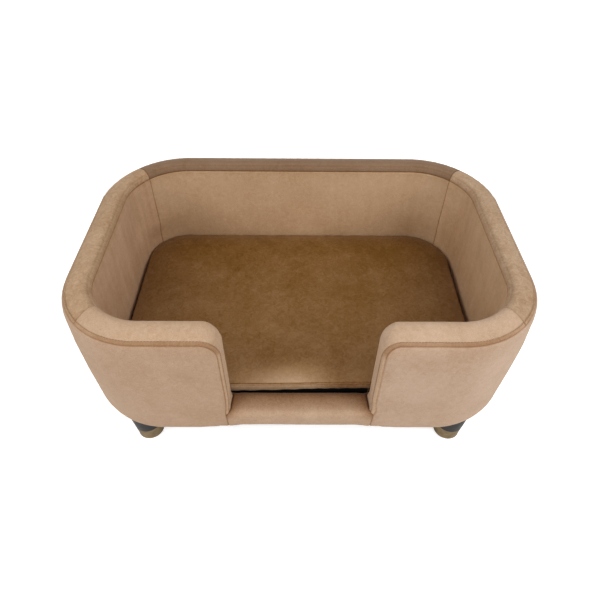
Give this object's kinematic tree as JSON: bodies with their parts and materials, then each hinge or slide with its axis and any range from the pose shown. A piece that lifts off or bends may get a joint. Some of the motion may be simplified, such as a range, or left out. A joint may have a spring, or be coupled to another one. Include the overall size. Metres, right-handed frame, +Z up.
{
  "type": "upholstered pet bed",
  "caption": "Rounded velvet pet bed on short tapered legs, with a low front entrance and a lift-out boxed cushion.",
  "frame": {"origin": "on the floor under the middle of the bed", "axes": "+X to the right seen from the entrance, +Y to the back wall, +Z up"},
  "size_m": [0.7, 0.467, 0.29],
  "materials": {
    "velvet": "short tan velvet pile",
    "cushion_velvet": "tan velvet, darker from above",
    "foam": "open-cell foam",
    "wadding": "polyester wadding",
    "hardboard": "plain hardboard",
    "plywood": "plain plywood",
    "timber": "planed softwood",
    "leg_finish": "charcoal lacquer, soft sheen",
    "antique_brass": "aged satin brass",
    "felt": "dense dark felt",
    "steel": "zinc-plated steel",
    "black_lining": "black non-woven fabric",
    "zip_tape": "woven zip tape",
    "zip_nylon": "nylon coil",
    "zip_metal": "aged metal"
  },
  "bodies": {
    "bed": {"band_back": "velvet", "band_front_left": "velvet", "band_front_right": "velvet", "band_left": "velvet", "band_right": "velvet", "base_board": "plywood", "dust_cover": "black_lining", "floor_lining": "black_lining", "frame_screws": "steel", "glide_back_left": "felt", "glide_back_right": "felt", "glide_front_left": "felt", "glide_front_right": "felt", "inner_foam_back": "foam", "inner_foam_left": "foam", "inner_foam_right": "foam", "inner_panel_back": "velvet", "inner_panel_left": "velvet", "inner_panel_right": "velvet", "inner_skin_back": "hardboard", "inner_skin_left": "hardboard", "inner_skin_right": "hardboard", "leg_back_left": "leg_finish", "leg_back_right": "leg_finish", "leg_bolts": "steel", "leg_front_left": "leg_finish", "leg_front_right": "leg_finish", "leg_nuts": "steel", "leg_tip_back_left": "antique_brass", "leg_tip_back_right": "antique_brass", "leg_tip_front_left": "antique_brass", "leg_tip_front_right": "antique_brass", "outer_panel_back": "velvet", "outer_panel_left": "velvet", "outer_panel_right": "velvet", "outer_skin_back": "hardboard", "outer_skin_left": "hardboard", "outer_skin_right": "hardboard", "rim_foam_back": "foam", "rim_foam_left": "foam", "rim_foam_right": "foam", "sill_foam": "foam", "sill_panel": "velvet", "sill_rail": "timber", "staples": "steel", "top_rail_back": "plywood", "top_rail_left": "plywood", "top_rail_right": "plywood", "wadding_back": "wadding", "wadding_left": "wadding", "wadding_right": "wadding", "wall_posts": "timber"},
    "cushion": {"cushion_boxing": "cushion_velvet", "cushion_foam": "foam", "cushion_top": "cushion_velvet", "cushion_underside": "black_lining", "zip_tapes": "zip_tape", "zip_teeth": "zip_nylon"},
    "zip_slider": {"zip_slider": "zip_metal"},
    "zip_pull": {"zip_pull": "zip_metal"}
  },
  "joints": [
    {"name": "cushion_lift", "type": "slide", "parent": "bed", "child": "cushion", "axis": [0, 0, 1], "range_m": [0, 0.35]},
    {"name": "zip_slide", "type": "slide", "parent": "cushion", "child": "zip_slider", "axis": [-1, 0, 0], "range_m": [0, 0.329]},
    {"name": "zip_pull_swing", "type": "hinge", "parent": "zip_slider", "child": "zip_pull", "pos_m": [0.1712, 0.186, 0.1069], "axis": [0, 0, -1], "range_deg": [0, 11]}
  ]
}
